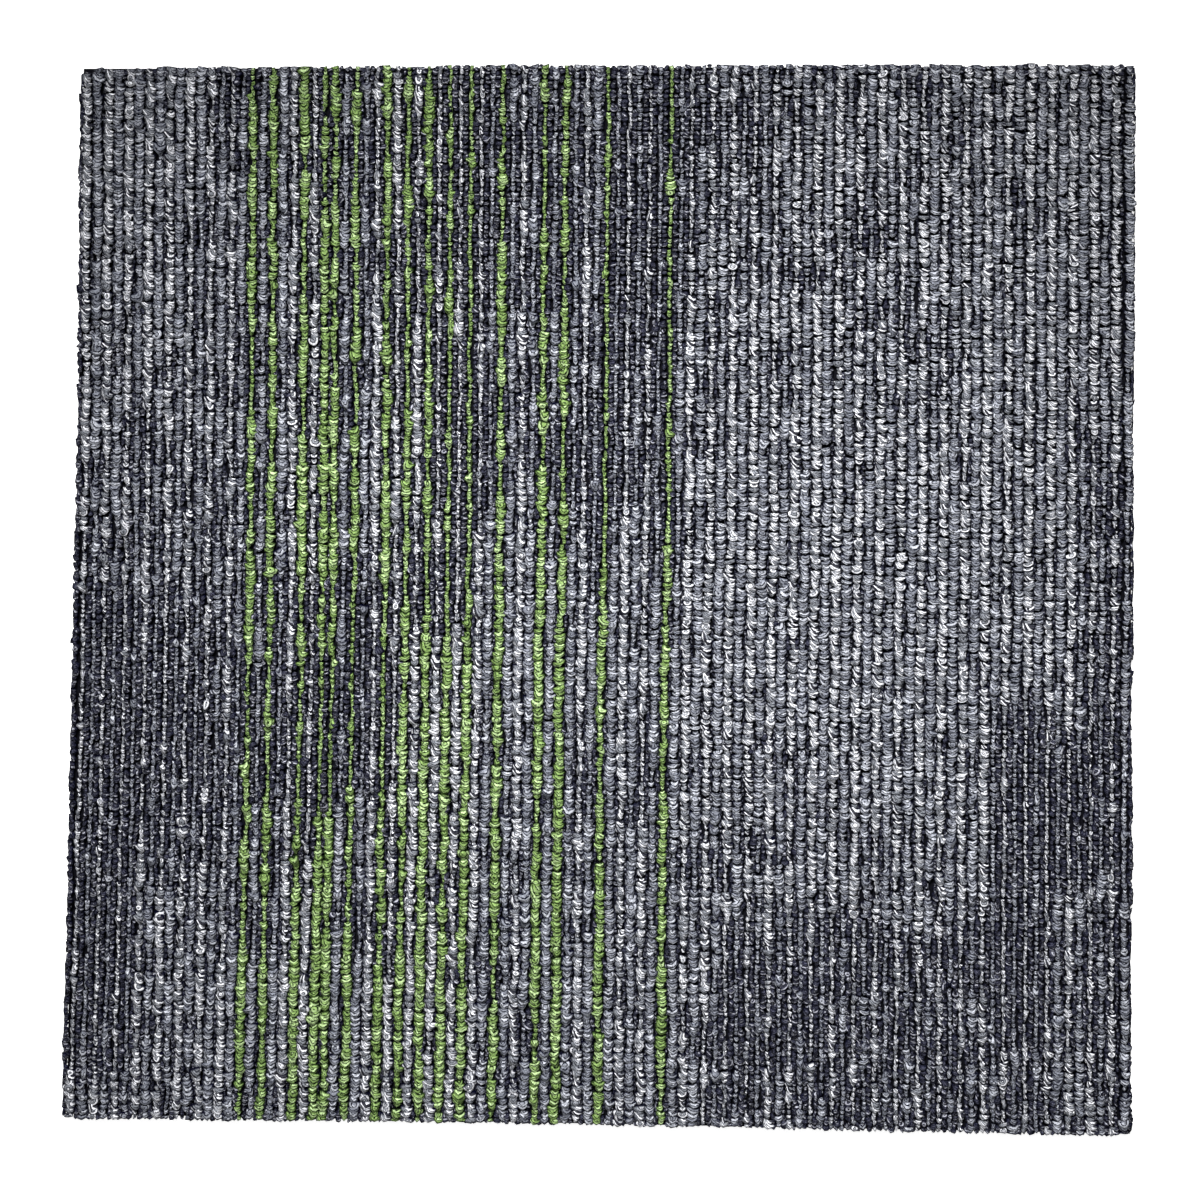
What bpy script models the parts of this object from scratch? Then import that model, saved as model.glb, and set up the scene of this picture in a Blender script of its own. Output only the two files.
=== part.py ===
"""A square loop-pile carpet tile, lying flat with its pile up.

The tile is die-cut from tufted carpet: rows of looped yarn run along Y, light and
dark by turns, and are bonded to a heavy flexible backing. Units are metres, +Z is
up, X runs across the rows, and the origin is the centre of the underside.
"""

import math

import bmesh
import bpy

# Driving dimensions of the cut tile
TILE_SIDE = 0.500
BACKING_THICKNESS = 0.0025
# The die presses the outer loops back from the cut, so neighbours meet at the backing
PILE_SET_BACK = 0.0003

# Driving dimensions of the tufting
# A tenth-inch needle gauge, drawn in two per cent as the cloth shrinks
ROW_GAUGE = 0.00249
LIGHT_LOOP_HEIGHT = 0.0040
DARK_LOOP_HEIGHT = 0.0033
# The stitched roots that join the rows, and the furrow left between two crowns
ROOT_HEIGHT = 0.0008
FURROW_WIDTH = 0.0003

# Straight steps across the crown of one row
CROWN_STEPS = 4


def clear_scene():
    """Remove every object that is in the scene."""
    for existing in list(bpy.data.objects):
        bpy.data.objects.remove(existing, do_unlink=True)


def plain_material(name, colour, roughness):
    """A non-metallic Principled material."""
    material = bpy.data.materials.new(name)
    material.use_nodes = True
    shader = material.node_tree.nodes["Principled BSDF"]
    shader.inputs["Base Color"].default_value = (*colour, 1.0)
    shader.inputs["Roughness"].default_value = roughness
    shader.inputs["Metallic"].default_value = 0.0
    return material


def add_object(name, mesh_data, height, material):
    """Write a bmesh to a named object that stands at the given height."""
    mesh = bpy.data.meshes.new(name)
    mesh_data.to_mesh(mesh)
    mesh_data.free()
    mesh.materials.append(material)
    piece = bpy.data.objects.new(name, mesh)
    piece.location.z = height
    bpy.context.collection.objects.link(piece)
    return piece


def make_backing():
    """The flat die-cut square of filled compound, with its cloth and fleece."""
    slab = bmesh.new()
    bmesh.ops.create_cube(slab, size=1.0)
    bmesh.ops.scale(slab, vec=(TILE_SIDE, TILE_SIDE, BACKING_THICKNESS), verts=slab.verts)
    bmesh.ops.translate(slab, vec=(0.0, 0.0, BACKING_THICKNESS / 2), verts=slab.verts)
    compound = plain_material("backing_compound", (0.022, 0.022, 0.025), 0.85)
    return add_object("backing", slab, 0.0, compound)


def row_heights():
    """Crown height of each row, dark and light by turns, with a dark row at both edges."""
    light_rows = round((TILE_SIDE / ROW_GAUGE - 1) / 2)
    return [DARK_LOOP_HEIGHT] + [LIGHT_LOOP_HEIGHT, DARK_LOOP_HEIGHT] * light_rows


def pile_outline():
    """Points (x, height) over the crowns of all the rows, from the left edge to the right."""
    heights = row_heights()
    pile_width = TILE_SIDE - 2 * PILE_SET_BACK
    row_pitch = pile_width / len(heights)
    crown_half_width = (row_pitch - FURROW_WIDTH) / 2
    outline = [(-pile_width / 2, ROOT_HEIGHT)]
    for row, crown_height in enumerate(heights):
        middle = -pile_width / 2 + (row + 0.5) * row_pitch
        for step in range(CROWN_STEPS + 1):
            turn = math.pi * step / CROWN_STEPS
            x = middle - crown_half_width * math.cos(turn)
            height = ROOT_HEIGHT + (crown_height - ROOT_HEIGHT) * math.sin(turn)
            outline.append((x, height))
    outline.append((pile_width / 2, ROOT_HEIGHT))
    return outline


def make_pile():
    """The rows of loops as one ribbed sheet, extruded along the rows."""
    pile_length = TILE_SIDE - 2 * PILE_SET_BACK
    pile = bmesh.new()
    columns = [
        (pile.verts.new((x, -pile_length / 2, 0.0)), pile.verts.new((x, -pile_length / 2, height)))
        for x, height in pile_outline()
    ]
    for (foot, crown), (next_foot, next_crown) in zip(columns, columns[1:]):
        pile.faces.new((foot, next_foot, next_crown, crown))
    extruded = bmesh.ops.extrude_face_region(pile, geom=list(pile.faces))
    far_end = [item for item in extruded["geom"] if isinstance(item, bmesh.types.BMVert)]
    bmesh.ops.translate(pile, vec=(0.0, pile_length, 0.0), verts=far_end)
    bmesh.ops.recalc_face_normals(pile, faces=pile.faces)
    yarn = plain_material("pile_yarn", (0.17, 0.18, 0.19), 0.95)
    return add_object("pile", pile, BACKING_THICKNESS, yarn)


clear_scene()
make_backing()
make_pile()
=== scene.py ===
import math

import bpy
import numpy as np
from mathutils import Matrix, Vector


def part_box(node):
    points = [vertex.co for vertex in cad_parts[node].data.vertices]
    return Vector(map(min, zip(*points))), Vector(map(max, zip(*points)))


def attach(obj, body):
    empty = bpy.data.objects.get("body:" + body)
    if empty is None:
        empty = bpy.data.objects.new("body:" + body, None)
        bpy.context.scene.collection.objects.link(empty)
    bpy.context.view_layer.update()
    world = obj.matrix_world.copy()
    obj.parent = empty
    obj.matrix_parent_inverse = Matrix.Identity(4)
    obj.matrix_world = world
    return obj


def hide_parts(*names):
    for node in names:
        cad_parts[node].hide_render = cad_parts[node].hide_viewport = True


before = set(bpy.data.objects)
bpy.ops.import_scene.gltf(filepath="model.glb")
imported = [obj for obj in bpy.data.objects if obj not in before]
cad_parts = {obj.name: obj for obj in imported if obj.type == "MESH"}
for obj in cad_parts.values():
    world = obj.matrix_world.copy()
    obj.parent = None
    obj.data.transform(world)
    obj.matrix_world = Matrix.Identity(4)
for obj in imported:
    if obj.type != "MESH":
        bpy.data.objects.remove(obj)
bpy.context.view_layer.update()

# Viewpoint
# The tile lies on the floor and is seen from almost straight above, a little nearer to
# its lower right corner, with the rows running up the picture.
camera_data = bpy.data.cameras.new("overhead_camera")
camera_data.lens = 50.0
camera_data.sensor_width = 36.0
camera = bpy.data.objects.new("overhead_camera", camera_data)
camera.location = (0.0273, -0.0211, 0.7907)
camera.rotation_euler = (math.radians(1.274), math.radians(1.889), math.radians(0.528))
bpy.context.scene.collection.objects.link(camera)
bpy.context.scene.camera = camera
bpy.context.scene.view_settings.view_transform = "Standard"

# Floor and light
# A plain white floor in even room light. A large soft lamp hangs past the tile's far edge
# and shines on the middle of the tile, so that the light falls off towards its corners.
lamp_data = bpy.data.lights.new("soft_lamp", "SPOT")
lamp_data.energy = 127.0
lamp_data.spot_size = math.radians(43.0)
lamp_data.spot_blend = 1.0
lamp_data.shadow_soft_size = 0.16
lamp = bpy.data.objects.new("soft_lamp", lamp_data)
lamp.location = (-0.12, 0.66, 1.10)
lamp_aim = (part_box("pile")[0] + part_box("pile")[1]) / 2
lamp_aim.x += 0.03
lamp_aim.y -= 0.09
lamp.rotation_euler = (lamp_aim - lamp.location).to_track_quat("-Z", "Y").to_euler()
bpy.context.scene.collection.objects.link(lamp)

pure_white = (1.0, 1.0, 1.0, 1.0)
room_light = bpy.data.worlds.new("room_light")
room_light.use_nodes = True
room_glow = room_light.node_tree.nodes["Background"]
room_glow.inputs["Color"].default_value = pure_white
room_glow.inputs["Strength"].default_value = 0.36
bpy.context.scene.world = room_light

floor_mesh = bpy.data.meshes.new("floor")
floor_reach = 15.0
floor_mesh.from_pydata(
    [
        (-floor_reach, -floor_reach, 0),
        (floor_reach, -floor_reach, 0),
        (floor_reach, floor_reach, 0),
        (-floor_reach, floor_reach, 0),
    ],
    [],
    [(0, 1, 2, 3)],
)
floor = bpy.data.objects.new("floor", floor_mesh)
bpy.context.scene.collection.objects.link(floor)
floor_paint = bpy.data.materials.new("floor_paint")
floor_paint.use_nodes = True
floor_shader = floor_paint.node_tree.nodes["Principled BSDF"]
floor_shader.inputs["Base Color"].default_value = (0.9, 0.9, 0.9, 1.0)
floor_shader.inputs["Roughness"].default_value = 0.9
floor_shader.inputs["Emission Color"].default_value = pure_white
floor_shader.inputs["Emission Strength"].default_value = 0.75
floor_mesh.materials.append(floor_paint)

# Backing
# The heavy sheet that the tile is cut on: black filled compound, with the woven primary
# cloth bonded into its top and a thin grey fleece under it. It stays the CAD's own slab.
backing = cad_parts["backing"]
backing_low, backing_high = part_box("backing")
cloth_level = backing_high.z
tile_side = backing_high.x - backing_low.x
# The heights between which fleece gives way to compound, and compound to cloth
fleece_top = (0.00025, 0.0004)
cloth_foot = (cloth_level - 0.0005, cloth_level - 0.0003)


def wired(tree, kind, inputs=None, **settings):
    """Add a node, set its properties, and feed its inputs from sockets or plain values."""
    node = tree.nodes.new(kind)
    for name, value in settings.items():
        setattr(node, name, value)
    for key, value in (inputs or {}).items():
        if isinstance(value, bpy.types.NodeSocket):
            tree.links.new(value, node.inputs[key])
        else:
            node.inputs[key].default_value = value
    return node


def sums(tree, operation, *values):
    """The output of a Math node over sockets and plain numbers."""
    node = wired(tree, "ShaderNodeMath", dict(enumerate(values)), operation=operation)
    return node.outputs[0]


def stepped(tree, value, low, high, start=0.0, end=1.0):
    """A smooth step of a value from start to end, as it goes from low to high."""
    node = wired(
        tree,
        "ShaderNodeMapRange",
        {"Value": value, "From Min": low, "From Max": high, "To Min": start, "To Max": end},
        interpolation_type="SMOOTHSTEP",
    )
    return node.outputs["Result"]


def blended(tree, amount, first, second):
    """One colour laid over another by an amount."""
    node = tree.nodes.new("ShaderNodeMix")
    node.data_type = "RGBA"
    for socket, value in zip((node.inputs[0], node.inputs[6], node.inputs[7]), (amount, first, second)):
        if isinstance(value, bpy.types.NodeSocket):
            tree.links.new(value, socket)
        else:
            socket.default_value = value
    return node.outputs[2]


def picture_colour(red, green, blue):
    """A colour given as 0-255 picture values, as the linear colour that shaders take."""
    linear = []
    for part in (red / 255, green / 255, blue / 255):
        linear.append(part / 12.92 if part <= 0.04045 else ((part + 0.055) / 1.055) ** 2.4)
    return (*linear, 1.0)


def backing_material():
    """Fleece, compound and cloth, by the height above the floor."""
    material = bpy.data.materials.new("filled_compound")
    material.use_nodes = True
    tree = material.node_tree
    shader = tree.nodes["Principled BSDF"]
    place = wired(tree, "ShaderNodeTexCoord").outputs["Object"]
    height = wired(tree, "ShaderNodeSeparateXYZ", {0: place}).outputs["Z"]
    grains = {"Vector": place, "Scale": 1800.0, "Detail": 3.0}
    grit = wired(tree, "ShaderNodeTexNoise", grains).outputs["Fac"]
    tangle = {"Vector": place, "Scale": 420.0, "Detail": 6.0, "Distortion": 2.5}
    fibres = wired(tree, "ShaderNodeTexNoise", tangle).outputs["Fac"]
    compound = blended(tree, stepped(tree, grit, 0.6, 0.72), picture_colour(26, 26, 29), picture_colour(92, 92, 94))
    fleece = blended(tree, stepped(tree, fibres, 0.35, 0.65), picture_colour(84, 85, 88), picture_colour(128, 129, 131))
    # The cloth is painted near-black, as painted shade where it shows deep between the tufts
    cloth_in_painted_shade = blended(tree, grit, picture_colour(2, 2, 6), picture_colour(14, 14, 22))
    over_fleece = stepped(tree, height, *fleece_top)
    into_cloth = stepped(tree, height, *cloth_foot)
    colour = blended(tree, over_fleece, fleece, compound)
    colour = blended(tree, into_cloth, colour, cloth_in_painted_shade)
    bump = wired(tree, "ShaderNodeBump", {"Height": fibres, "Strength": 0.5, "Distance": 0.0003})
    tree.links.new(colour, shader.inputs["Base Color"])
    tree.links.new(bump.outputs[0], shader.inputs["Normal"])
    shader.inputs["Roughness"].default_value = 0.85
    shader.inputs["Specular IOR Level"].default_value = 0.1
    return material


backing.data.materials.clear()
backing.data.materials.append(backing_material())

# Pile
# Looped nylon yarn, tufted in straight rows: a dark blue row at every other needle, and
# between them the light rows, grey and white-twisted by turns, with some of them green.
# The loops of a row are drawn high or low along it, which shades the tile in patches.
light_rows = 100
stitches = 224
needle_pitch = tile_side / (2 * light_rows + 1)
stitch_pitch = tile_side / stitches
# How far the trimmed pile reaches from the middle of the tile, before it spreads or shrinks
cut_reach = tile_side / 2 + 0.0004
# Light rows that are green, counted from the left
green_rows = (16, 18, 21, 23, 24, 26, 29, 31, 33, 35, 37, 40, 44, 46, 50, 56)

# Each patch: first and last light row, from and to in metres below the far edge, and how
# much higher (or lower) the light loops are drawn there than the usual level.
usual_level = 0.56
drawn_patches = (
    (0, 9, 0.000, 0.150, 0.14),
    (0, 12, 0.000, 0.070, 0.18),
    (15, 19, 0.115, 0.165, -0.18),
    (10, 24, 0.118, 0.150, 0.16),
    (25, 29, 0.000, 0.030, -0.28),
    (25, 29, 0.100, 0.130, -0.18),
    (25, 29, 0.175, 0.225, 0.16),
    (12, 14, 0.010, 0.045, -0.35),
    (8, 9, 0.085, 0.095, -0.50),
    (31, 32, 0.080, 0.100, -0.35),
    (34, 39, 0.000, 0.225, -0.36),
    (30, 37, 0.220, 0.270, -0.34),
    (20, 32, 0.025, 0.110, -0.10),
    (45, 56, 0.090, 0.215, -0.10),
    (40, 48, 0.000, 0.110, -0.20),
    (35, 46, 0.020, 0.050, -0.14),
    (15, 18, 0.040, 0.075, -0.16),
    (35, 45, 0.145, 0.205, -0.18),
    (26, 36, 0.120, 0.200, -0.12),
    (60, 68, 0.000, 0.050, -0.16),
    (68, 73, 0.020, 0.070, 0.20),
    (75, 84, 0.020, 0.075, 0.14),
    (90, 99, 0.000, 0.125, 0.14),
    (70, 84, 0.150, 0.180, 0.10),
    (50, 58, 0.000, 0.090, -0.50),
    (50, 56, 0.090, 0.205, -0.34),
    (45, 50, 0.150, 0.200, -0.30),
    (46, 57, 0.200, 0.240, -0.20),
    (84, 99, 0.030, 0.180, 0.16),
    (58, 92, 0.100, 0.190, 0.08),
    (58, 62, 0.145, 0.180, -0.16),
    (58, 94, 0.190, 0.320, 0.34),
    (62, 86, 0.300, 0.360, 0.14),
    (85, 94, 0.100, 0.200, 0.12),
    (95, 99, 0.205, 0.225, -0.20),
    (88, 99, 0.240, 0.270, -0.24),
    (42, 46, 0.140, 0.230, 0.10),
    (42, 57, 0.210, 0.310, 0.08),
    (31, 47, 0.250, 0.350, 0.18),
    (5, 19, 0.205, 0.245, -0.12),
    (0, 3, 0.150, 0.225, 0.10),
    (60, 65, 0.245, 0.278, 0.46),
    (50, 59, 0.295, 0.345, 0.14),
    (15, 19, 0.280, 0.325, -0.20),
    (85, 94, 0.290, 0.325, -0.20),
    (6, 30, 0.140, 0.180, -0.08),
    (0, 8, 0.225, 0.270, -0.20),
    (0, 5, 0.250, 0.478, -0.54),
    (0, 9, 0.270, 0.350, -0.40),
    (5, 12, 0.345, 0.385, -0.22),
    (8, 15, 0.330, 0.370, -0.16),
    (23, 27, 0.300, 0.400, -0.12),
    (6, 14, 0.260, 0.345, -0.36),
    (15, 30, 0.285, 0.350, -0.40),
    (26, 31, 0.250, 0.290, -0.30),
    (50, 50, 0.300, 0.345, -0.35),
    (54, 56, 0.315, 0.345, -0.35),
    (10, 50, 0.420, 0.500, 0.16),
    (20, 34, 0.420, 0.500, 0.12),
    (50, 55, 0.455, 0.500, 0.24),
    (31, 60, 0.350, 0.480, 0.05),
    (38, 46, 0.325, 0.430, 0.14),
    (14, 18, 0.370, 0.400, 0.18),
    (36, 41, 0.425, 0.435, -0.35),
    (42, 45, 0.450, 0.465, -0.30),
    (60, 92, 0.405, 0.500, -0.30),
    (60, 64, 0.470, 0.500, -0.20),
    (60, 88, 0.350, 0.405, 0.04),
    (60, 72, 0.355, 0.400, -0.10),
    (60, 66, 0.400, 0.425, 0.18),
    (69, 74, 0.370, 0.400, 0.14),
    (64, 72, 0.405, 0.435, -0.14),
    (94, 99, 0.330, 0.450, -0.20),
    (87, 99, 0.300, 0.385, -0.42),
    (87, 92, 0.350, 0.450, -0.28),
    (94, 99, 0.380, 0.500, 0.04),
)

# How far the pile spreads past each cut edge, or shrinks back from it, at even steps along
# it: the far and near edges from the left, the left and right ones from the far end.
far_spread = (-0.0014, -0.0004, 0.0002, 0.0002, 0.0004, 0.0, -0.0003)
near_spread = (0.0012, 0.0008, 0.0, -0.0006, -0.0003, 0.0001, 0.0)
left_spread = (0.0, 0.0003, -0.0005, -0.0001, 0.0002, 0.0006, 0.0013)
right_spread = (0.0004, 0.0010, 0.0003, 0.0002, 0.0001, 0.0, -0.0002)
# How far the far and the near corners are worn, left and right, and how far along the edges
far_wear = (0.0026, 0.0014)
near_wear = (0.0014, 0.0014)
wear_reach = 0.0050

chance = np.random.default_rng(41)


def wavering(rows, steps, knots):
    """Smooth random runs from -1 to 1 along each of several rows."""
    values = chance.uniform(-1.0, 1.0, (rows, knots + 1))
    at = np.linspace(0.0, knots, steps)
    left = np.minimum(at.astype(int), knots - 1)
    ease = at - left
    ease = ease * ease * (3 - 2 * ease)
    return values[:, left] * (1 - ease) + values[:, left + 1] * ease


def drawn_levels():
    """How high each light loop is drawn, 0 to 1, by row and by stitch from the far edge."""
    down = (np.arange(stitches) + 0.5) * stitch_pitch
    level = np.full((light_rows, stitches), usual_level)
    fade = 0.004
    raggedness = 0.005
    ragged = np.random.default_rng(12)
    for first, last, start, end, change in drawn_patches:
        for row in range(first, last + 1):
            begin = start + ragged.normal(0.0, raggedness) * (start > 0)
            finish = end + ragged.normal(0.0, raggedness)
            rise = np.clip((down - begin) / fade + 0.5, 0, 1)
            fall = np.clip((finish - down) / fade + 0.5, 0, 1)
            level[row] += change * rise * fall
    # Runs of full or slim loops, long and short, that a row half shares with the next one
    runs = wavering(light_rows, stitches, 44)
    long_runs = wavering(light_rows, stitches, 14)
    shared = (runs + 0.5 * np.roll(runs, 1, axis=0)) * 0.34 + long_runs * 0.10
    short_runs = wavering(light_rows, stitches, 100) * 0.30
    level += shared + short_runs + chance.normal(0.0, 0.06, level.shape)
    # A loop is soon either full or slim: few stay half drawn
    return np.clip((level - 0.5) * 2.0 + 0.54, 0.0, 1.0)


def laid_over():
    """How flat each light loop lies along its row, 0 to 1: most in the left half of the tile."""
    row = np.arange(light_rows)[:, None]
    left_share = np.clip((0.62 - row / light_rows) / 0.2, 0.0, 1.0)
    return np.clip(0.15 + 0.55 * left_share + 0.45 * wavering(light_rows, stitches, 26), 0.0, 1.0)


light_level = drawn_levels()
light_flat = laid_over()
edge_level = np.vstack([light_level[:1], light_level, light_level[-1:]])
dark_level = (edge_level[:-1] + edge_level[1:]) / 2
dark_flat = np.zeros_like(dark_level)
# Nothing hems in the dark yarn at the left edge or at the ends of its rows, so it spreads
# there, while at the right edge the last light row leans out over it
dark_level[0] *= 0.3
dark_level[-1] = 0.3 + 0.7 * light_level[-1]
dark_level[:, [0, 1, -2, -1]] *= 0.2
dark_flat[[0, -1]] = 1.0


def spread_at(spread, share):
    """How far an edge is spread outward, at a share of its length."""
    return np.interp(share, np.linspace(0.0, 1.0, len(spread)), spread)


def eased(share):
    """A share held to 0-1, with soft ends."""
    share = np.clip(share, 0.0, 1.0)
    return share * share * (3 - 2 * share)


def row_bow(needle, down):
    """How far a row strays from the straight line of the cut, along its length."""
    along = np.clip(down / tile_side, 0.0, 1.0)
    bulge = np.sin(np.pi * along)
    # Rows on the left bow to the right at mid-length, and rows on the right lie further
    # to the right in their far half
    left_bow = -0.00035 + 0.00155 * bulge**1.2
    right_bow = -0.0004 - 0.0002 * bulge + 0.00115 * (1 - eased((along - 0.40) / 0.25))
    left_share = eased((0.54 - needle / (2 * light_rows)) / 0.26)
    bow = left_share * left_bow + (1 - left_share) * right_bow
    # The two outermost rows on each side stay along the cut more than their neighbours do
    if needle == 0:
        bow = bow * 0.5 - 0.0007
    if needle == 1:
        bow = bow - 0.0003
    if needle == 2 * light_rows - 1:
        bow = bow + 0.0009
    if needle == 2 * light_rows:
        bow = bow * 0.3 + 0.0010
    # The spread of a side edge takes the four rows next to it along, less and less
    left_pull = max(0.0, 1 - needle / 4)
    right_pull = max(0.0, 1 - (2 * light_rows - needle) / 4)
    bow = bow - left_pull * spread_at(left_spread, along)
    return bow + right_pull * spread_at(right_spread, along)


# How far in from the two ends a row's first and last stitches stand
far_inset = 0.5 * stitch_pitch
near_inset = 0.3 * stitch_pitch
# How far a row wavers in long and in short waves, and a single loop across and along it
long_waver = 0.00018
short_waver = 0.00030
loop_stray = 0.00012
stitch_stray = 0.00030


def needle_points(name, needles, levels, flats, seed):
    """A mesh of bare points, one at each stitch of some needles, with how each loop is drawn."""
    wander_of = np.random.default_rng(seed)
    spots = []
    side_reach = []
    end_reach = []
    for needle in needles:
        x = backing_low.x + (needle + 0.5) * needle_pitch
        far_end = spread_at(far_spread, needle / (2 * light_rows))
        near_end = spread_at(near_spread, needle / (2 * light_rows))
        down = np.linspace(far_inset - far_end, tile_side - near_inset + near_end, stitches)
        # Each row wavers as its loops lean on their neighbours
        wander = np.zeros(stitches)
        for knots, waver in ((32, long_waver), (90, short_waver)):
            strays = wander_of.normal(0.0, waver, knots)
            wander += np.interp(down, np.linspace(0.0, tile_side, knots), strays)
        wander += wander_of.normal(0.0, loop_stray, stitches)
        bow = row_bow(needle, down)
        y = backing_high.y - down + wander_of.normal(0.0, stitch_stray, stitches)
        spots.append(np.stack([x + wander + bow, y, np.full(stitches, cloth_level)], axis=1))
        # The cut's corners are worn a little round
        to_end = np.minimum(down, tile_side - down)
        to_side = min(needle, 2 * light_rows - needle) * needle_pitch
        side = 0 if needle < light_rows else 1
        side_spread = spread_at((left_spread, right_spread)[side], down / tile_side)
        end_spread = np.where(down < tile_side / 2, far_end, near_end)
        worn = np.where(down < tile_side / 2, far_wear[side], near_wear[side])
        side_reach.append(cut_reach + side_spread - worn * eased(1 - to_end / wear_reach))
        end_reach.append(cut_reach + end_spread - worn * eased(1 - to_side / wear_reach))
    mesh = bpy.data.meshes.new(name)
    mesh.from_pydata(np.concatenate(spots).tolist(), [], [])
    kept_on_stitches = {
        "level": levels,
        "flat": flats,
        "side_reach": side_reach,
        "end_reach": end_reach,
    }
    for key, values in kept_on_stitches.items():
        attribute = mesh.attributes.new(key, "FLOAT", "POINT")
        attribute.data.foreach_set("value", np.ravel(values).astype(np.float32))
    return mesh


def tufting_tree():
    """Geometry nodes that set one looped tuft on each point, sized by the point's level."""
    tree = bpy.data.node_groups.new("tufting", "GeometryNodeTree")
    sockets = (
        ("Stitches", "NodeSocketGeometry", None),
        ("Loop Width", "NodeSocketFloat", 0.0040),
        ("Loop Length", "NodeSocketFloat", 0.0029),
        ("Loop Thickness", "NodeSocketFloat", 0.0020),
        ("Crown Height", "NodeSocketFloat", 0.0040),
        ("Slim Share", "NodeSocketFloat", 0.5),
        ("Full Share", "NodeSocketFloat", 1.0),
        ("Low Share", "NodeSocketFloat", 0.7),
        ("High Share", "NodeSocketFloat", 1.0),
        ("Uneven", "NodeSocketFloat", 0.20),
        ("Tilt", "NodeSocketFloat", 0.6),
        ("Smile", "NodeSocketFloat", 0.0008),
        ("Droop", "NodeSocketFloat", 0.0009),
        ("Blunt", "NodeSocketFloat", 0.3),
        ("Turn", "NodeSocketFloat", 0.2),
        ("Sides", "NodeSocketInt", 4),
        ("Seed", "NodeSocketInt", 0),
        ("Yarn", "NodeSocketMaterial", None),
    )
    for name, kind, value in sockets:
        socket = tree.interface.new_socket(name, in_out="INPUT", socket_type=kind)
        if value is not None:
            socket.default_value = value
    tree.interface.new_socket("Tufts", in_out="OUTPUT", socket_type="NodeSocketGeometry")
    given = tree.nodes.new("NodeGroupInput").outputs

    # One tuft: a lens of yarn across the row, its front edge tipped up over the next one
    round_ball = {"Segments": given["Sides"], "Rings": 4, "Radius": 1.0}
    ball = wired(tree, "GeometryNodeMeshUVSphere", round_ball)
    wrapped = wired(
        tree,
        "GeometryNodeStoreNamedAttribute",
        {"Geometry": ball.outputs["Mesh"], "Name": "OFBake", "Value": ball.outputs["UV Map"]},
        data_type="FLOAT2",
        domain="CORNER",
    )
    turned = {"Geometry": wrapped.outputs[0], "Rotation": (0.0, math.pi / 2, 0.0)}
    across = wired(tree, "GeometryNodeTransform", turned)
    here = wired(tree, "GeometryNodeInputPosition").outputs[0]
    place = wired(tree, "ShaderNodeSeparateXYZ", {0: here}).outputs
    half_length = sums(tree, "MULTIPLY", given["Loop Length"], 0.5)
    half_thick = sums(tree, "MULTIPLY", given["Loop Thickness"], 0.5)
    outward = sums(tree, "MULTIPLY", place["X"], place["X"])
    # The loop keeps its full girth until close to its two ends
    blunt = sums(tree, "MULTIPLY_ADD", sums(tree, "SUBTRACT", 1.0, outward), given["Blunt"], 1.0)
    along = sums(tree, "MULTIPLY", sums(tree, "MULTIPLY", place["Y"], blunt), half_length)
    rise = sums(tree, "MULTIPLY", sums(tree, "MULTIPLY", place["Z"], blunt), half_thick)
    sine = sums(tree, "SINE", given["Tilt"])
    cosine = sums(tree, "COSINE", given["Tilt"])
    leant = sums(tree, "MULTIPLY_ADD", along, cosine, sums(tree, "MULTIPLY", rise, sine))
    leant = sums(tree, "ADD", leant, sums(tree, "MULTIPLY", outward, given["Smile"]))
    risen = sums(tree, "MULTIPLY", rise, cosine)
    lifted = sums(tree, "SUBTRACT", risen, sums(tree, "MULTIPLY", along, sine))
    lifted = sums(tree, "SUBTRACT", lifted, sums(tree, "MULTIPLY", outward, given["Droop"]))
    reach = sums(
        tree,
        "SQRT",
        sums(
            tree,
            "ADD",
            sums(tree, "POWER", sums(tree, "MULTIPLY", half_length, sine), 2.0),
            sums(tree, "POWER", sums(tree, "MULTIPLY", half_thick, cosine), 2.0),
        ),
    )
    lifted = sums(tree, "SUBTRACT", lifted, reach)
    half_width = sums(tree, "MULTIPLY", given["Loop Width"], 0.5)
    sideways = sums(tree, "MULTIPLY", sums(tree, "MULTIPLY", place["X"], blunt), half_width)
    # The lowest edge is drawn down into the cloth as the tuft's root
    rooted = sums(tree, "LESS_THAN", place["Z"], -0.5)
    root_width = 0.35
    root_length = 0.4
    root_side = sums(tree, "MULTIPLY", sideways, root_width)
    root_along = sums(tree, "MULTIPLY", leant, root_length)
    root_height = sums(tree, "MULTIPLY", given["Crown Height"], -1.0)
    shaped = [
        wired(tree, "ShaderNodeMix", {0: rooted, 2: crown, 3: root}).outputs[0]
        for crown, root in ((sideways, root_side), (leant, root_along), (lifted, root_height))
    ]
    shape = wired(tree, "ShaderNodeCombineXYZ", dict(zip("XYZ", shaped))).outputs[0]
    tuft = wired(tree, "GeometryNodeSetPosition", {"Geometry": across.outputs[0], "Position": shape})
    tuft = wired(
        tree,
        "GeometryNodeStoreNamedAttribute",
        {"Geometry": tuft.outputs[0], "Name": "tuft_place", "Value": here},
        data_type="FLOAT_VECTOR",
        domain="POINT",
    )
    tuft = wired(tree, "GeometryNodeSetShadeSmooth", {"Geometry": tuft.outputs[0]})

    def lot(low, high, offset):
        """A random number for each stitch."""
        seed = sums(tree, "ADD", given["Seed"], offset)
        node = wired(tree, "FunctionNodeRandomValue", data_type="FLOAT")
        node.inputs[2].default_value = low
        node.inputs[3].default_value = high
        tree.links.new(seed, node.inputs["Seed"])
        return node.outputs[1]

    def named(key):
        """A number kept on each stitch."""
        node = wired(tree, "GeometryNodeInputNamedAttribute", {"Name": key}, data_type="FLOAT")
        return node.outputs[0]

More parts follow.
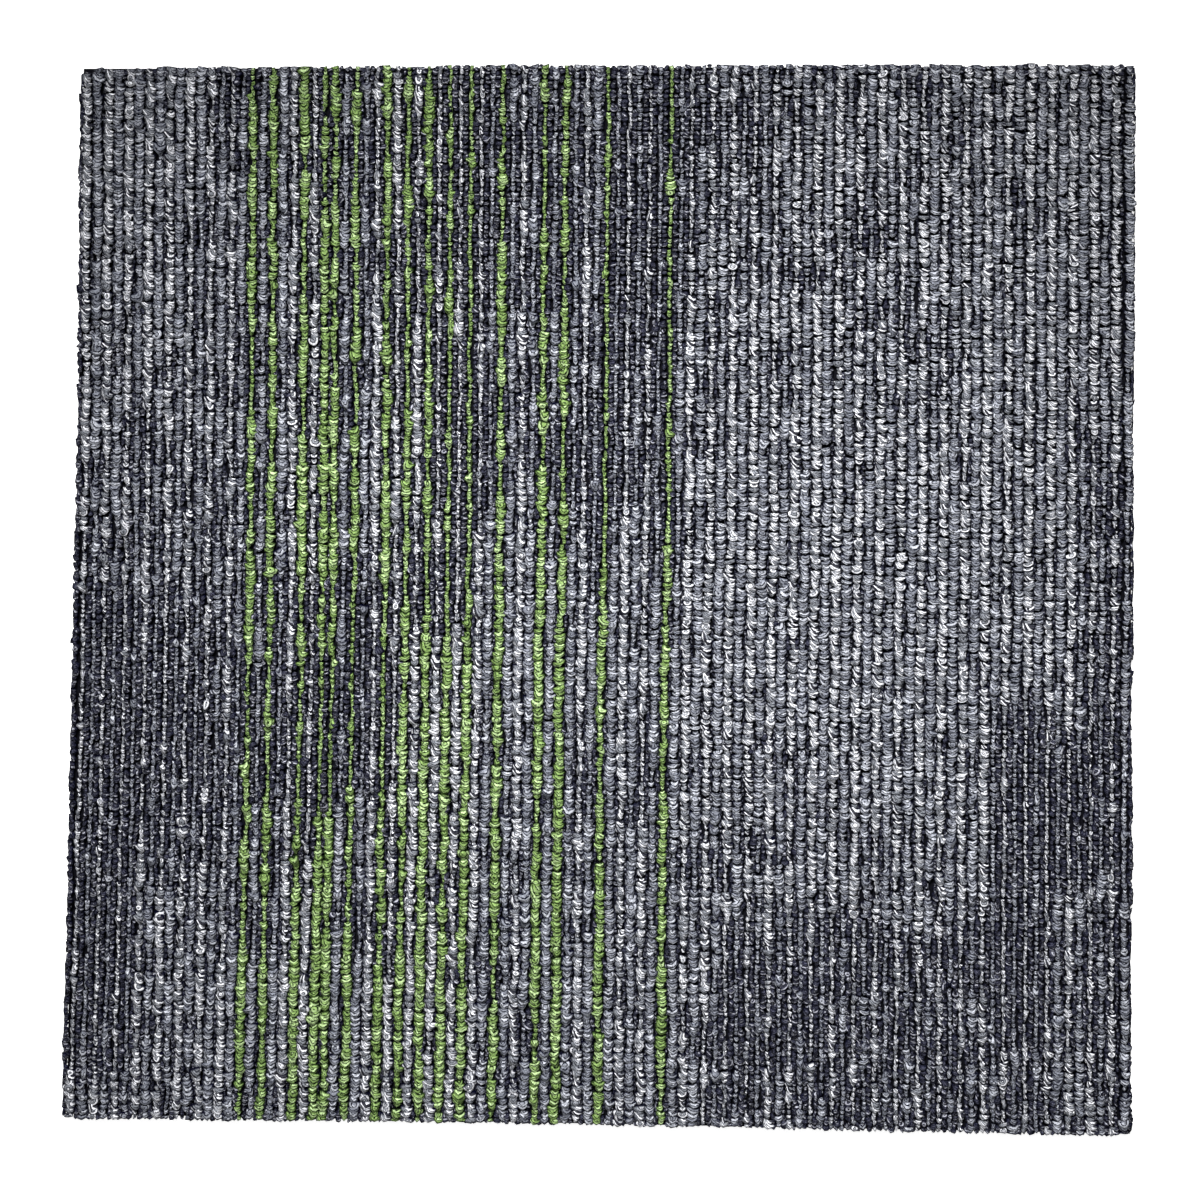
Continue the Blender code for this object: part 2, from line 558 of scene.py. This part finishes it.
    level = named("level")
    points = wired(
        tree,
        "GeometryNodeStoreNamedAttribute",
        {"Geometry": given["Stitches"], "Name": "tuft_lot", "Value": lot(0.0, 1.0, 1)},
        data_type="FLOAT",
        domain="POINT",
    )
    girths = {0: level, 2: given["Slim Share"], 3: given["Full Share"]}
    full = wired(tree, "ShaderNodeMix", girths).outputs[0]
    heights = {0: level, 2: given["Low Share"], 3: given["High Share"]}
    high = wired(tree, "ShaderNodeMix", heights).outputs[0]
    flat = named("flat")
    plump = sums(tree, "MULTIPLY_ADD", full, 0.25, 0.75)
    plump = sums(tree, "MULTIPLY_ADD", flat, 0.25, plump)
    # A few loops stray: they puff up and turn more, above all where the others are slim
    settled_share = 0.95
    stray = sums(tree, "GREATER_THAN", lot(0.0, 1.0, 7), settled_share)
    puff = sums(tree, "MULTIPLY", stray, sums(tree, "MULTIPLY_ADD", full, -0.8, 1.0))
    swell = sums(tree, "ADD", 1.0, puff)
    broad = sums(tree, "MULTIPLY_ADD", given["Uneven"], lot(-1.0, 1.0, 2), 1.0)
    high = sums(tree, "MULTIPLY", high, sums(tree, "MULTIPLY_ADD", puff, 0.5, 1.0))
    scale = wired(
        tree,
        "ShaderNodeCombineXYZ",
        {
            "X": sums(tree, "MULTIPLY", full, sums(tree, "MULTIPLY", swell, broad)),
            "Y": sums(tree, "MULTIPLY", plump, sums(tree, "MULTIPLY", swell, lot(0.74, 1.34, 3))),
            "Z": sums(tree, "MULTIPLY", high, lot(0.90, 1.08, 4)),
        },
    )
    turn = sums(tree, "MULTIPLY", given["Turn"], sums(tree, "MULTIPLY_ADD", stray, 1.2, 1.0))
    rotation = wired(
        tree,
        "ShaderNodeCombineXYZ",
        {
            "X": sums(tree, "MULTIPLY_ADD", flat, 0.34, lot(-0.28, 0.18, 5)),
            "Y": lot(-0.22, 0.22, 8),
            "Z": sums(tree, "MULTIPLY", turn, lot(-1.0, 1.0, 6)),
        },
    )
    # A tuft's own middle is its crown, so each point is lifted to its crown's height
    lift = wired(tree, "ShaderNodeCombineXYZ", {"Z": sums(tree, "MULTIPLY", given["Crown Height"], high)})
    raised = {"Geometry": points.outputs[0], "Offset": lift.outputs[0]}
    points = wired(tree, "GeometryNodeSetPosition", raised)
    tufts = wired(
        tree,
        "GeometryNodeInstanceOnPoints",
        {
            "Points": points.outputs[0],
            "Instance": tuft.outputs[0],
            "Rotation": rotation.outputs[0],
            "Scale": scale.outputs[0],
        },
    )
    tufts = wired(tree, "GeometryNodeRealizeInstances", {"Geometry": tufts.outputs[0]})
    # The die cuts the outer loops flush, and they swell a little past the cut or shrink from it
    found = wired(tree, "GeometryNodeInputPosition").outputs[0]
    swells = {"Vector": found, "Scale": 110.0, "Detail": 1.0}
    swelling = wired(tree, "ShaderNodeTexNoise", swells).outputs[0]
    swelling = sums(tree, "SUBTRACT", swelling, 0.5)
    swelling_range = 0.0035
    kept = wired(tree, "ShaderNodeSeparateXYZ", {0: found}).outputs
    inside = []
    beyond = []
    for axis, key in (("X", "side_reach"), ("Y", "end_reach")):
        reach = sums(tree, "MULTIPLY_ADD", swelling, swelling_range, named(key))
        held = sums(tree, "MAXIMUM", kept[axis], sums(tree, "MULTIPLY", reach, -1.0))
        inside.append(sums(tree, "MINIMUM", held, reach))
        beyond.append(sums(tree, "SUBTRACT", reach, sums(tree, "ABSOLUTE", kept[axis])))
    tufts = wired(
        tree,
        "GeometryNodeStoreNamedAttribute",
        {"Geometry": tufts.outputs[0], "Name": "from_cut", "Value": sums(tree, "MINIMUM", *beyond)},
        data_type="FLOAT",
        domain="POINT",
    )
    cut = {"X": inside[0], "Y": inside[1], "Z": kept["Z"]}
    trimmed = wired(tree, "ShaderNodeCombineXYZ", cut).outputs[0]
    cut_off = {"Geometry": tufts.outputs[0], "Position": trimmed}
    tufts = wired(tree, "GeometryNodeSetPosition", cut_off)
    dressed = {"Geometry": tufts.outputs[0], "Material": given["Yarn"]}
    tufts = wired(tree, "GeometryNodeSetMaterial", dressed)
    wired(tree, "NodeGroupOutput", {"Tufts": tufts.outputs[0]})
    return tree


tufting = tufting_tree()


def spread_map(mesh, tufts):
    """Give every tuft a cell of its own in the mesh's map, wrapped round the tuft."""
    corners = mesh.uv_layers["OFBake"].uv
    places = np.empty(len(corners) * 2, np.float32)
    corners.foreach_get("vector", places)
    cells = math.ceil(math.sqrt(tufts))
    tuft = np.arange(len(corners)) * tufts // len(corners)
    cell = np.stack([tuft % cells, tuft // cells], axis=1)
    margin = 0.05
    places = (places.reshape(-1, 2) * (1 - 2 * margin) + margin + cell) / cells
    corners.foreach_set("vector", places.astype(np.float32).ravel())


def tufted(name, needles, levels, flats, sizes, yarn, seed):
    """Tuft one yarn over some needles, and keep the result as a plain mesh on the tile."""
    points = needle_points(name + "_stitches", needles, levels, flats, seed)
    carrier = bpy.data.objects.new(name + "_stitches", points)
    bpy.context.scene.collection.objects.link(carrier)
    modifier = carrier.modifiers.new("tufting", "NODES")
    modifier.node_group = tufting
    settings = dict(sizes) | {"Seed": seed, "Yarn": yarn}
    for item in tufting.interface.items_tree:
        if item.item_type == "SOCKET" and item.in_out == "INPUT" and item.name in settings:
            modifier[item.identifier] = settings[item.name]
    graph = bpy.context.evaluated_depsgraph_get()
    mesh = bpy.data.meshes.new_from_object(carrier.evaluated_get(graph))
    # The first slot is the ball's own, which is empty
    mesh.materials.pop(index=0)
    spread_map(mesh, len(points.vertices))
    carrier.modifiers.remove(modifier)
    bpy.data.objects.remove(carrier)
    bpy.data.meshes.remove(points)
    mesh.name = name
    rows = bpy.data.objects.new(name, mesh)
    bpy.context.scene.collection.objects.link(rows)
    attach(rows, "root")
    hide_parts("pile")


def yarn_group():
    """Colour and relief of one looped yarn: plies across each loop, a painted highlight at its front
    edge, and painted shade in the creases, at the root, at the loop ends and along the cut.
    """
    tree = bpy.data.node_groups.new("looped_yarn", "ShaderNodeTree")
    for name, kind, value in (
        # The first colour is painted shade, for the root, the creases, the loop ends and the cut edges
        ("Painted Shade", "NodeSocketColor", picture_colour(20, 20, 26)),
        ("Body", "NodeSocketColor", picture_colour(110, 110, 120)),
        # The colour below is the pale ply colour and the painted highlight
        ("Crown", "NodeSocketColor", picture_colour(170, 170, 180)),
        ("Dark Ply", "NodeSocketColor", picture_colour(60, 60, 66)),
        ("Crown Share", "NodeSocketFloat", 0.5),
        ("Dark Share", "NodeSocketFloat", 0.0),
        ("Ply Slant", "NodeSocketFloat", 0.3),
        ("Ply Width", "NodeSocketFloat", 0.0010),
        ("Crease", "NodeSocketFloat", 0.5),
        ("Lot Spread", "NodeSocketFloat", 0.3),
        ("Fibre", "NodeSocketFloat", 1.3),
        ("Curl Share", "NodeSocketFloat", 0.12),
        ("Half Width", "NodeSocketFloat", 0.0027),
    ):
        tree.interface.new_socket(name, in_out="INPUT", socket_type=kind).default_value = value
    tree.interface.new_socket("Colour", in_out="OUTPUT", socket_type="NodeSocketColor")
    tree.interface.new_socket("Relief", in_out="OUTPUT", socket_type="NodeSocketFloat")
    given = tree.nodes.new("NodeGroupInput").outputs
    place = wired(tree, "ShaderNodeAttribute", attribute_name="tuft_place").outputs["Vector"]
    lot = wired(tree, "ShaderNodeAttribute", attribute_name="tuft_lot").outputs["Fac"]
    part = wired(tree, "ShaderNodeSeparateXYZ", {0: place}).outputs
    from_cut = wired(tree, "ShaderNodeAttribute", attribute_name="from_cut").outputs["Fac"]
    spot = wired(tree, "ShaderNodeTexCoord").outputs["Object"]
    fuzzy = {"Vector": spot, "Scale": 1500.0, "Detail": 2.0}
    fuzz = wired(tree, "ShaderNodeTexNoise", fuzzy).outputs["Fac"]

    # Plies cross the loop on a slant, and bend back at its sides as the loop does
    side_bend = -260.0
    bent = sums(tree, "MULTIPLY", sums(tree, "MULTIPLY", part["X"], part["X"]), side_bend)
    # The fibres in them are long across the loop and fine along the row
    fibre_grain = (800.0, 2200.0)
    fibre_run = wired(
        tree,
        "ShaderNodeCombineXYZ",
        {
            "X": sums(tree, "MULTIPLY", part["X"], fibre_grain[0]),
            "Y": sums(tree, "MULTIPLY", sums(tree, "ADD", part["Y"], bent), fibre_grain[1]),
            "Z": sums(tree, "MULTIPLY", lot, 90.0),
        },
    ).outputs[0]
    fibrous = {"Vector": fibre_run, "Scale": 1.0, "Detail": 2.0}
    fibres = wired(tree, "ShaderNodeTexNoise", fibrous).outputs["Fac"]
    slant = sums(tree, "ADD", sums(tree, "MULTIPLY", part["X"], given["Ply Slant"]), part["Y"])
    # On some loops the plies curl round in a ring, which the loop behind half covers or not
    furthest_back = 0.0012
    ring_side = sums(tree, "POWER", sums(tree, "MULTIPLY", part["X"], 0.7), 2.0)
    second_draw = sums(tree, "FRACT", sums(tree, "MULTIPLY", lot, 13.7))
    ring_back = sums(tree, "MULTIPLY", second_draw, furthest_back)
    ring_along = sums(tree, "POWER", sums(tree, "SUBTRACT", part["Y"], ring_back), 2.0)
    ring = sums(tree, "MULTIPLY", sums(tree, "SQRT", sums(tree, "ADD", ring_side, ring_along)), 1.3)
    draw = sums(tree, "FRACT", sums(tree, "MULTIPLY", lot, 7.31))
    curls = sums(tree, "LESS_THAN", draw, given["Curl Share"])
    straight = sums(tree, "ADD", slant, bent)
    laid = wired(tree, "ShaderNodeMix", {0: curls, 2: straight, 3: ring}).outputs[0]
    run = sums(tree, "DIVIDE", laid, given["Ply Width"])
    run = sums(tree, "ADD", run, sums(tree, "MULTIPLY", lot, 37.0))
    run = sums(tree, "ADD", run, sums(tree, "MULTIPLY", fuzz, 0.7))
    edge = sums(tree, "ABSOLUTE", sums(tree, "SUBTRACT", sums(tree, "FRACT", run), 0.5))
    seam = stepped(tree, edge, 0.30, 0.43)
    ply = {"W": sums(tree, "FLOOR", run)}
    tone = wired(tree, "ShaderNodeTexWhiteNoise", ply, noise_dimensions="1D").outputs[0]

    # Painted highlight: each loop is painted palest at its front edge, and some plies take the pale
    # colour, which is the white ply in the white-twisted yarn and a painted highlight in the solid yarns
    front_edge_highlight = -160.0
    softness = 0.15
    toned_up = sums(tree, "ADD", tone, sums(tree, "MULTIPLY", part["Y"], front_edge_highlight))
    plain_share = sums(tree, "SUBTRACT", 1.0, given["Crown Share"])
    pale_from = sums(tree, "SUBTRACT", plain_share, softness)
    pale_ply_and_highlight = stepped(tree, toned_up, pale_from, sums(tree, "ADD", plain_share, softness))
    colour = blended(tree, pale_ply_and_highlight, given["Body"], given["Crown"])
    dark = sums(tree, "LESS_THAN", tone, given["Dark Share"])
    colour = blended(tree, dark, colour, given["Dark Ply"])
    # Painted shade: the root and the creases between plies are darkened towards the shade colour, as they
    # lie in the shade of the yarn round them
    depth = stepped(tree, part["Z"], -0.0019, -0.0005)
    crease = sums(tree, "MULTIPLY", seam, given["Crease"])
    shade = sums(tree, "MULTIPLY", depth, sums(tree, "SUBTRACT", 1.0, crease))
    # The ends of a loop, where it dips between two rows, are given the same painted shade
    off_crown = sums(tree, "DIVIDE", sums(tree, "ABSOLUTE", part["X"]), given["Half Width"])
    shade = sums(tree, "MULTIPLY", shade, stepped(tree, off_crown, 0.66, 0.92, 1.0, 0.1))
    # Painted shade: yarn within about a millimetre of the die's cut is darkened, to about a third at the
    # cut itself
    shade = sums(tree, "MULTIPLY", shade, stepped(tree, from_cut, 0.0, 0.0011, 0.35, 1.0))
    colour = blended(tree, shade, given["Painted Shade"], colour)
    spread = sums(tree, "MULTIPLY", given["Lot Spread"], sums(tree, "SUBTRACT", lot, 0.5))
    grain = sums(tree, "SUBTRACT", sums(tree, "ADD", fuzz, fibres), 1.0)
    grain = sums(tree, "MULTIPLY", grain, given["Fibre"])
    value = sums(tree, "ADD", sums(tree, "ADD", 1.0, spread), grain)
    toned = wired(tree, "ShaderNodeHueSaturation", {"Color": colour, "Value": value})
    relief = sums(tree, "SUBTRACT", sums(tree, "ADD", fibres, fuzz), seam)
    wired(tree, "NodeGroupOutput", {"Colour": toned.outputs[0], "Relief": relief})
    return tree


looped_yarn = yarn_group()


def yarn_material(name, settings):
    """A matt bulked yarn with its own dyes and twist, and its own painted shade and highlight colours."""
    material = bpy.data.materials.new(name)
    material.use_nodes = True
    tree = material.node_tree
    shader = tree.nodes["Principled BSDF"]
    finish = wired(tree, "ShaderNodeGroup", node_tree=looped_yarn)
    for key, value in settings.items():
        finish.inputs[key].default_value = value
    raised = {"Height": finish.outputs["Relief"], "Strength": 0.8, "Distance": 0.0003}
    bump = wired(tree, "ShaderNodeBump", raised)
    tree.links.new(finish.outputs["Colour"], shader.inputs["Base Color"])
    tree.links.new(bump.outputs[0], shader.inputs["Normal"])
    shader.inputs["Roughness"].default_value = 0.8
    shader.inputs["Specular IOR Level"].default_value = 0.04
    return material


# Dark blue rows
# Solid-dyed nylon, tufted by every other needle. It fills the furrows, and stands out as
# broad dark rows wherever the light yarn beside it is drawn low.
dark_blue = yarn_material(
    "dark_blue_yarn",
    {
        "Half Width": 0.0015,
        # The near-black colour is painted shade, and the palest one a painted highlight
        "Painted Shade": picture_colour(0, 1, 24),
        "Body": picture_colour(58, 59, 72),
        "Crown": picture_colour(158, 159, 170),
        "Crown Share": 0.33,
        "Ply Slant": 0.6,
        "Ply Width": 0.0009,
        "Crease": 1.0,
        "Lot Spread": 0.8,
        "Fibre": 3.8,
        "Curl Share": 0.5,
    },
)
dark_sizes = {
    "Loop Width": 0.0030,
    "Loop Length": 0.0032,
    "Loop Thickness": 0.0018,
    "Crown Height": 0.0036,
    "Slim Share": 1.0,
    "Full Share": 0.42,
    "Low Share": 1.0,
    "High Share": 0.46,
    "Uneven": 0.40,
    "Tilt": 0.5,
    "Smile": 0.0006,
    "Droop": 0.0008,
    "Turn": 0.60,
    "Sides": 3,
}
dark_bands = (("left", 0, 34), ("middle", 34, 68), ("right", 68, light_rows + 1))
for place, first, end in dark_bands:
    rows = list(range(first, end))
    needles = [2 * row for row in rows]
    drawn = (dark_level[rows], dark_flat[rows])
    tufted(f"dark_blue_rows_{place}", needles, *drawn, dark_sizes, dark_blue, 100 + first)

# Grey rows
# Solid-dyed grey nylon, bulked and soft, in every second light row. It is tufted through
# the same cloth as the rest, and its loops are held by the compound.
light_sizes = {
    "Loop Width": 0.0054,
    "Loop Length": 0.0028,
    "Loop Thickness": 0.0020,
    "Crown Height": 0.0040,
    "Slim Share": 0.42,
    "Full Share": 1.0,
    "Low Share": 0.60,
    "High Share": 1.0,
    "Tilt": 0.62,
    "Smile": 0.0012,
    "Droop": 0.0011,
    "Turn": 0.30,
    "Sides": 4,
}
halves = (("left", 0, 50), ("right", 50, light_rows))
grey = yarn_material(
    "grey_yarn",
    {
        # The near-black colour is painted shade, and the palest one a painted highlight
        "Painted Shade": picture_colour(0, 1, 24),
        "Body": picture_colour(120, 123, 133),
        "Crown": picture_colour(184, 187, 196),
        "Crown Share": 0.50,
        "Ply Slant": 0.15,
        "Ply Width": 0.0013,
        "Crease": 1.0,
        "Lot Spread": 0.25,
        "Fibre": 2.5,
    },
)
for place, first, end in halves:
    rows = [row for row in range(first, end) if row % 2 == 1 and row not in green_rows]
    needles = [2 * row + 1 for row in rows]
    drawn = (light_level[rows], light_flat[rows])
    tufted(f"grey_rows_{place}", needles, *drawn, light_sizes, grey, 200 + first)

# White-twisted rows
# Nylon again, with white, grey and dark plies twisted together, so that each loop shows a
# few bright strands. It is tufted in the light rows between the grey ones.
twisted = yarn_material(
    "white_twist_yarn",
    {
        # The near-black colour is painted shade; the white is the white ply, and a painted highlight at
        # each loop's front edge
        "Painted Shade": picture_colour(0, 1, 24),
        "Body": picture_colour(128, 131, 138),
        "Crown": picture_colour(242, 243, 249),
        "Dark Ply": picture_colour(56, 56, 64),
        "Crown Share": 0.48,
        "Dark Share": 0.08,
        "Ply Slant": 0.7,
        "Ply Width": 0.0010,
        "Crease": 1.0,
        "Lot Spread": 0.2,
        "Fibre": 1.7,
        "Curl Share": 0.15,
    },
)
for place, first, end in halves:
    rows = [row for row in range(first, end) if row % 2 == 0 and row not in green_rows]
    needles = [2 * row + 1 for row in rows]
    drawn = (light_level[rows], light_flat[rows])
    tufted(f"white_twist_rows_{place}", needles, *drawn, light_sizes, twisted, 300 + first)

# Green rows
# Leaf-green dyed nylon, which takes the place of the grey or the twisted yarn in sixteen
# of the light rows, left of the middle.
green = yarn_material(
    "leaf_green_yarn",
    {
        # The dark green colour is painted shade, and the palest one a painted highlight
        "Painted Shade": picture_colour(10, 24, 6),
        "Body": picture_colour(122, 149, 87),
        "Crown": picture_colour(178, 204, 145),
        "Crown Share": 0.50,
        "Ply Slant": 0.2,
        "Ply Width": 0.0013,
        "Crease": 1.0,
        "Lot Spread": 0.25,
        "Fibre": 2.5,
    },
)
rows = list(green_rows)
needles = [2 * row + 1 for row in rows]
drawn = (light_level[rows], light_flat[rows])
tufted("leaf_green_rows", needles, *drawn, light_sizes, green, 400)
